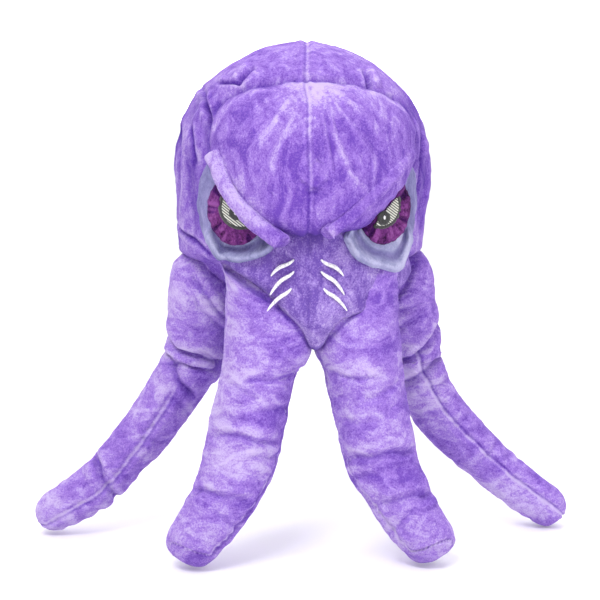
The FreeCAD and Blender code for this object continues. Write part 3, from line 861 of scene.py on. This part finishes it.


# ---------------------------------------------------------------- arms

# Each arm's middle line, from its top to its end, is a list of joint names and points in between, and the
# radii go with those points. "above" is the way up from the root joint to the arm's hidden top, "top" the
# radius there, and "forward" moves the root. "slant" and "square" shape the top. "pale" is how much lighter
# the whole arm is painted, as painted light, and the number after it is the angle round the arm of the side
# that is painted lightest, as if lit. Seams are pairs of angles, high up and low down, and one shows from
# "seam_from" on. A fold is (distance below the root joint, angle round the arm from its front toward its
# right, half of its spread in degrees, depth, slope, half width).
ARMS = {
    "front_left": {
        "parts": ("upper", "tip"), "seams": ((80, 46), (-98, -98)), "seam_from": 0.02,
        "slant": -0.80, "above": (-0.007, 0.000, 0.044), "top": 0.046,
        "forward": (0.0, -0.016, 0.0), "square": 0.9,
        "pale": 0.16, "painted_light_side": -1.3,
        "line": ["root", (-0.0455, -0.064, 0.205), (-0.0505, -0.065, 0.177), "fold", (-0.074, -0.080, 0.084),
                 (-0.092, -0.086, 0.054), (-0.1120, -0.089, 0.0285)],
        "radii": [0.0405, 0.0368, 0.0352, 0.0350, 0.0318, 0.0290, 0.0262],
        "folds": [(0.060, 25, 60, 0.0022, -0.35, 0.006), (0.076, -35, 50, 0.0016, 0.35, 0.006),
                  (0.092, 40, 45, 0.0018, -0.15, 0.005), (0.126, -4, 78, 0.0034, -0.08, 0.006),
                  (0.140, 40, 45, 0.0020, -0.2, 0.005), (0.187, -20, 75, 0.0034, -0.28, 0.006),
                  (0.203, 30, 50, 0.0014, 0.10, 0.005), (0.108, -50, 40, 0.0014, -0.2, 0.005)],
    },
    "front_right": {
        "parts": ("upper", "tip"), "seams": ((-82, -46), (98, 98)), "seam_from": 0.02,
        "slant": 0.72, "above": (0.003, 0.002, 0.042), "top": 0.042,
        "forward": (0.0, -0.011, 0.0), "square": 0.9,
        "pale": 0.00, "painted_light_side": -1.1,
        "line": ["root", (0.0520, -0.064, 0.205), (0.0560, -0.065, 0.177), "fold", (0.0805, -0.081, 0.081),
                 (0.097, -0.087, 0.050), (0.1130, -0.091, 0.0280)],
        "radii": [0.0405, 0.0370, 0.0358, 0.0345, 0.0318, 0.0295, 0.0262],
        "folds": [(0.058, -25, 55, 0.0020, 0.25, 0.006), (0.080, 25, 45, 0.0014, -0.3, 0.005),
                  (0.104, -30, 50, 0.0014, 0.15, 0.005), (0.141, 0, 88, 0.0038, 0.10, 0.006),
                  (0.156, -45, 40, 0.0018, 0.2, 0.005), (0.190, 20, 80, 0.0034, 0.28, 0.006),
                  (0.206, -25, 50, 0.0018, -0.25, 0.005)],
    },
    "outer_left": {
        "parts": ("upper", "lower", "tip"), "seams": ((-4, 8), (178, 178)), "seam_from": 0.095,
        "slant": -0.35, "above": (0.014, -0.014, 0.034), "top": 0.019,
        "forward": (0.003, -0.016, 0.0), "square": 0.3,
        "pale": 0.18, "painted_light_side": -1.5,
        "line": ["root", "elbow", (-0.118, 0.0295, 0.174), (-0.138, 0.032, 0.1410), (-0.166, 0.035, 0.102),
                 "fold", (-0.2240, 0.039, 0.0430), (-0.257, 0.040, 0.0225)],
        "radii": [0.0335, 0.0310, 0.0285, 0.0262, 0.0250, 0.0226, 0.0224, 0.0205],
        "folds": [(0.061, -10, 100, 0.0066, 0.24, 0.006), (0.080, 20, 90, 0.0044, -0.40, 0.006),
                  (0.094, -20, 80, 0.0040, 0.45, 0.005), (0.016, 30, 50, 0.0024, 0.7, 0.006),
                  (-0.004, 20, 60, 0.0026, 0.7, 0.006), (0.066, 50, 50, 0.0030, 0.5, 0.005),
                  (0.125, 40, 50, 0.0018, 0.4, 0.005), (0.165, 35, 50, 0.0018, -0.3, 0.005),
                  (0.2335, 0, 110, 0.0054, 0.34, 0.005), (0.224, -40, 60, 0.0024, 0.2, 0.005),
                  (0.245, 30, 50, 0.0014, 0.3, 0.005)],
    },
    "outer_right": {
        "parts": ("upper", "lower", "tip"), "seams": ((8, 14), (-172, -172)), "seam_from": 0.045,
        "slant": 0.40, "above": (-0.013, -0.012, 0.023), "top": 0.020,
        "forward": (-0.008, -0.014, 0.0), "square": 0.3,
        "pale": 0.10, "painted_light_side": -0.6,
        "line": ["root", "elbow", (0.1145, 0.029, 0.175), (0.131, 0.031, 0.143), (0.152, 0.033, 0.1135),
                 "fold", (0.2235, 0.039, 0.046), (0.257, 0.040, 0.0225)],
        "radii": [0.0335, 0.0305, 0.0288, 0.0272, 0.0260, 0.0240, 0.0228, 0.0208],
        "folds": [(-0.014, -10, 70, 0.0026, -0.3, 0.006), (0.006, -20, 60, 0.0026, 0.3, 0.006),
                  (0.024, -15, 60, 0.0022, -0.25, 0.005), (0.062, 10, 100, 0.0056, -0.42, 0.006),
                  (0.090, 0, 100, 0.0058, -0.12, 0.006), (0.112, 40, 50, 0.0018, 0.3, 0.005),
                  (0.134, -30, 50, 0.0016, 0.3, 0.005), (0.160, 35, 50, 0.0014, 0.3, 0.005),
                  (0.206, 20, 50, 0.0016, 0.2, 0.005)],
    },
}
ARM_COLUMNS = 220
ROW_STEP = 0.0013
REST = 0.004                                # the height over which an arm's end flattens on the floor
SWELL_LIMIT = 0.0042                        # the most that folds raise an arm's skin
FOLD_LIMIT = 0.0085                         # the most that they sink it


def arm_line(name, arm):
    """Even steps down an arm: centres, radii, distance below the root joint, and each joint's distance."""
    points = [np.array(JOINTS[f"{name}_{p}"]) if isinstance(p, str) else np.array(p) for p in arm["line"]]
    points[0] = points[0] + np.array(arm["forward"])
    last = points[-1] - points[-2]
    above = points[0] + np.array(arm["above"])
    end = points[-1] + last / np.linalg.norm(last) * arm["radii"][-1] * 0.9
    points = [above] + points + [end]
    radii = [arm["top"]] + arm["radii"] + [arm["radii"][-1]]
    fine = np.linspace(0, len(points) - 1, 4000)
    centre, radius = spline(points, fine), spline(radii, fine)
    length = run_length(centre)
    even = np.linspace(0, length[-1], int(length[-1] / ROW_STEP))
    centre = np.stack([np.interp(even, length, centre[:, k]) for k in range(3)], -1)
    radius = np.interp(even, length, radius)
    knots = np.interp(np.arange(len(points)), fine, length)
    root = knots[1]
    joints = {p: knots[i + 1] - root for i, p in enumerate(arm["line"]) if isinstance(p, str)}
    return centre, radius, even - root, joints


# The front arms' seams with the muzzle, seen from the front as (x, z), from left to right
ARM_SEAMS = {
    "front_left": [(-0.089, 0.295), (-0.068, 0.281), (-0.037, 0.260), (-0.017, 0.241), (-0.001, 0.217)],
    "front_right": [(0.001, 0.213), (0.014, 0.217), (0.022, 0.228), (0.034, 0.242), (0.050, 0.252),
                    (0.060, 0.300)],
}


def sewn_in(grid, seam):
    """Tucks an arm's top behind the muzzle along their seam: the places, and how near they are to it, for
    painted shade there.
    """
    x, y, z = np.moveaxis(grid, -1, 0)
    route = np.array(seam)
    past = (z - np.interp(x, route[:, 0], route[:, 1])) * 0.77
    rise = 0.022 * np.sqrt(1 - (1 - np.clip(-past / 0.016, 0, 1)) ** 2) + 0.1 * ramp(-past, 0.014, 0.030)
    behind = muzzle_front(np.clip(x, -0.11, 0.11), z) + 0.0085 + 0.6 * np.maximum(past, 0) - rise
    grid[..., 1] = np.maximum(y, behind)
    return grid, ridge(past, 0.0036) * (y < HEAD_Y) * ramp(0.052 - x, 0, 0.010)


def seam_angles(name, seam, along):
    """The angle of an arm's seam in each row. It drifts down the arm, and a front one crosses its end."""
    high, low = seam
    angle = np.radians(high + (low - high) * ramp(along, 0.10, 0.22))
    if name.startswith("front") and abs(high) < 90:
        angle = angle - np.sign(high) * math.radians(110) * ramp(along, along[-1] - 0.026, along[-1] - 0.006)
    return angle


def rested(z):
    """Heights of an arm's end, which flattens a little where it rests on the floor."""
    floor = cad_low.z + 0.0004
    above = z - floor
    flat = floor + 0.002 * np.exp(np.minimum(above - REST, 0) / REST) + 0.002 * np.clip(above / REST, 0, 1)
    return np.where(z < floor + REST, flat, z)


def arm_skin(name, arm, seed):
    """One whole arm's skin: places, painted shade and paleness (painted light, with some random tone), with
    what cuts it into pieces.
    """
    centre, radius, along, joints = arm_line(name, arm)
    last, top = along[-1], along[0]
    blunt = arm["radii"][-1] * 1.05
    end = np.clip(1 - np.clip((along - (last - blunt)) / blunt, 0, 1) ** 2.3, 0, 1) ** (1 / 2.2)
    start = np.clip(1 - np.clip(1 - (along - top) / 0.022, 0, 1) ** 2.6, 0, 1) ** (1 / 2.4)
    grid, angle, down = tube(centre, radius * end * start + 0.0002, ARM_COLUMNS,
                             squareness=2.1 + arm["square"] * (1 - ramp(along, -0.01, 0.06)),
                             slant=arm["slant"] * (1 - ramp(along, -0.005, 0.065)))
    s, turn = np.broadcast_arrays(along[:, None], angle)
    thick = radius[:, None]
    lift = 0.0022 * noise(grid, 0.050, seed) + 0.0009 * noise(grid, 0.022, seed + 1)
    lift += 0.0007 * noise(grid, 0.009, seed + 2) + 0.0004 * noise(grid, 0.0045, seed + 3)
    dark = 1.0
    # Painted light: each arm is painted lighter by its own amount, and most on the one side of it that is
    # taken as lit. The noise after it is random tone.
    pale = arm["pale"] + 0.34 * np.clip(np.cos(turn - arm["painted_light_side"]), 0, 1)
    pale += 0.10 * noise(grid, 0.03, seed + 7)
    wander = 0.0034 * noise(grid, 0.018, seed + 4)
    # Fine wrinkles run across the arm, painted lighter on their crests and darker in their troughs.
    across = points_at(s, 0.25 * thick * np.cos(turn), 0.25 * thick * np.sin(turn))
    wrinkle = noise(across + 0.25 * wander[..., None], 0.0085, seed + 8)
    lift += 0.0009 * wrinkle
    pale += 0.22 * wrinkle
    for where, middle, spread, depth, slope, width in arm["folds"]:
        away = turned(turn, math.radians(middle))
        reach = 1 - ramp(np.abs(away), math.radians(spread) * 0.55, math.radians(spread))
        line = s - where - slope * np.sin(away) * thick + wander
        lift -= depth * ridge(line, width) * reach
        lift += 0.42 * depth * ridge(np.abs(line) - 1.9 * width, 1.7 * width) * reach
        # Painted shade in each fold and a painted highlight on its upper shoulder.
        dark *= 1 - min(0.42, 70 * depth) * ridge(line, 0.5 * width) * reach
        pale += 0.40 * ridge(line + 1.4 * width, 1.3 * width) * reach
    # Where folds meet, their swells do not pile up.
    lift = np.where(lift > 0, SWELL_LIMIT * np.tanh(lift / SWELL_LIMIT), np.maximum(lift, -FOLD_LIMIT))
    seams = [seam_angles(name, seam, along) for seam in arm["seams"]]
    for seam, (high, _) in zip(seams, arm["seams"]):
        shown = ramp(s, arm["seam_from"], arm["seam_from"] + 0.03) if abs(high) < 90 else 1.0
        line = turned(turn, seam[:, None]) * thick + 0.0012 * noise(grid, 0.02, seed + 5)
        pull = 0.6 + 0.4 * np.sin(s * 560 + 5 * noise(grid, 0.015, seed + 6))
        lift -= 0.0024 * ridge(line, 0.0040) * pull * shown
        lift += 0.0012 * ridge(np.abs(line) - 0.007, 0.0055) * shown
        # Painted shade in each seam's groove and a painted highlight along its edge.
        dark *= 1 - 0.36 * ridge(line - 0.0020, 0.0020) * shown
        pale += 0.90 * ridge(line + 0.0004, 0.0026) * shown
    body = (end * start)[:, None] ** 0.7
    grid = grid + grid_normals(grid, True) * (lift * body)[..., None]
    if name in ARM_SEAMS:
        grid, near = sewn_in(grid, ARM_SEAMS[name])
        # Painted shade where the arm's top tucks in behind the muzzle.
        dark *= 1 - 0.50 * near
    grid[..., 2] = rested(grid[..., 2])
    return grid, dark, pale, centre, down, along, angle, seams, joints


def arm_pieces(name, arm, seed):
    """One stuffed arm as plush pieces: each segment has a top and an under skin."""
    grid, dark, pale, centre, down, along, angle, seams, joints = arm_skin(name, arm, seed)
    faces = grid_faces(len(along), ARM_COLUMNS, True)
    row, column = faces[:, 0] // ARM_COLUMNS, faces[:, 0] % ARM_COLUMNS
    # The top skin is the half that faces the way the arm lifts: it runs from one seam round to the other.
    first, second = reversed(seams) if name in ("front_left", "outer_left") else seams
    span = np.remainder(second - first, 2 * math.pi)
    is_top = np.remainder(angle[column] - first[row], 2 * math.pi) < span[row]
    names = list(joints)
    cuts = [(joints[a] + joints[b]) / 2 for a, b in zip(names, names[1:])]
    limits = [along[0] - 1] + cuts + [along[-1] + 1]
    for index, (part, joint) in enumerate(zip(arm["parts"], names)):
        inside = (along[row] >= limits[index]) & (along[row] < limits[index + 1])
        for skin, where in (("top", is_top), ("under", ~is_top)):
            node = f"{name}_{part}_{skin}_skin"
            nodes = [node] + ([f"{name}_{part}_stuffing"] if skin == "top" else [])
            obj = add_piece(f"plush_{node}", grid, faces[inside & where], ARM_LILAC, nodes, dark, pale,
                            body=None)
            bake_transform(obj)


hood()
forehead()
muzzle()
for eye_side, eye_word in ((-1, "left"), (1, "right")):
    socket(eye_side, eye_word)
    pad(eye_side, eye_word)
    eye(eye_side, eye_word)
    slashes(eye_side, eye_word)
    brow(eye_word)
for arm_number, (arm_name, arm_shape) in enumerate(ARMS.items()):
    arm_pieces(arm_name, arm_shape, 80 + 10 * arm_number)

# ---------------------------------------------------------------- studio

STUDIO_SIZE = 60
BACKDROP_FAR = 12
WORLD_LIGHT = 0.62
LIT_PLACE = Vector((0, 0, 0.25))
# Each light's name, place, size and power
LIGHTS = (("key", (-0.7, -1.5, 2.1), 1.0, 37), ("fill", (1.4, -1.6, 1.1), 1.4, 15),
          ("top", (0.1, 0.3, 2.2), 1.2, 12))
CAMERA_TURN, CAMERA_LIFT = -3, 8            # degrees round from the front, and up
CAMERA_FAR = 1.70
VIEW_MIDDLE = Vector((0, 0, 0.248))
VIEW_WIDTH = 0.600                          # what the picture's width spans at the octopus
VIEW_SHIFT = 0.0045


def studio():
    """A pale floor, backdrops on all sides and soft white light."""
    bpy.ops.mesh.primitive_plane_add(size=STUDIO_SIZE, location=(0, 0, cad_low.z))
    floor = bpy.context.object
    floor.name = "studio_floor"
    n = Nodes("studio_white")
    n.set(Base_Color=(0.93, 0.93, 0.93, 1), Roughness=0.9)
    n.set(Emission_Color=(1, 1, 1, 1), Emission_Strength=0.06)
    floor.data.materials.append(n.material)
    n = Nodes("studio_backlit_white")
    n.set(Base_Color=(1, 1, 1, 1), Emission_Color=(1, 1, 1, 1), Emission_Strength=0.9)
    for number, turn in enumerate(np.arange(4) * math.pi / 2):
        place = (BACKDROP_FAR * math.sin(turn), BACKDROP_FAR * math.cos(turn), 0)
        bpy.ops.mesh.primitive_plane_add(size=STUDIO_SIZE, location=place, rotation=(math.pi / 2, 0, -turn))
        backdrop = bpy.context.object
        backdrop.name = f"studio_backdrop_{number}"
        backdrop.data.materials.append(n.material)
        # Only the one behind the octopus lights it: the others are just seen.
        backdrop.visible_diffuse = backdrop.visible_glossy = backdrop.visible_shadow = number == 0
    world = bpy.data.worlds.new("soft_white")
    world.use_nodes = True
    world.node_tree.nodes["Background"].inputs[0].default_value = (1, 1, 1, 1)
    world.node_tree.nodes["Background"].inputs[1].default_value = WORLD_LIGHT
    bpy.context.scene.world = world
    for name, place, size, power in LIGHTS:
        light = bpy.data.lights.new(name, "AREA")
        light.energy, light.size = power, size
        lamp = bpy.data.objects.new(name, light)
        lamp.location = place
        lamp.rotation_euler = (LIT_PLACE - Vector(place)).to_track_quat("-Z", "Y").to_euler()
        bpy.context.scene.collection.objects.link(lamp)
    bpy.context.scene.view_settings.view_transform = "Standard"


def camera():
    """Looks at the octopus from a little above and a little to the left of straight ahead."""
    turn, lift = math.radians(CAMERA_TURN), math.radians(CAMERA_LIFT)
    back = Vector((math.sin(turn) * math.cos(lift), -math.cos(turn) * math.cos(lift), math.sin(lift)))
    right = Vector((math.cos(turn), math.sin(turn), 0))
    data = bpy.data.cameras.new("camera")
    data.sensor_width = 36.0
    data.lens = data.sensor_width * CAMERA_FAR / VIEW_WIDTH
    eye_point = bpy.data.objects.new("camera", data)
    eye_point.location = VIEW_MIDDLE - VIEW_SHIFT * right + back * CAMERA_FAR
    eye_point.rotation_euler = (-back).to_track_quat("-Z", "Y").to_euler()
    bpy.context.scene.collection.objects.link(eye_point)
    bpy.context.scene.camera = eye_point


studio()
camera()
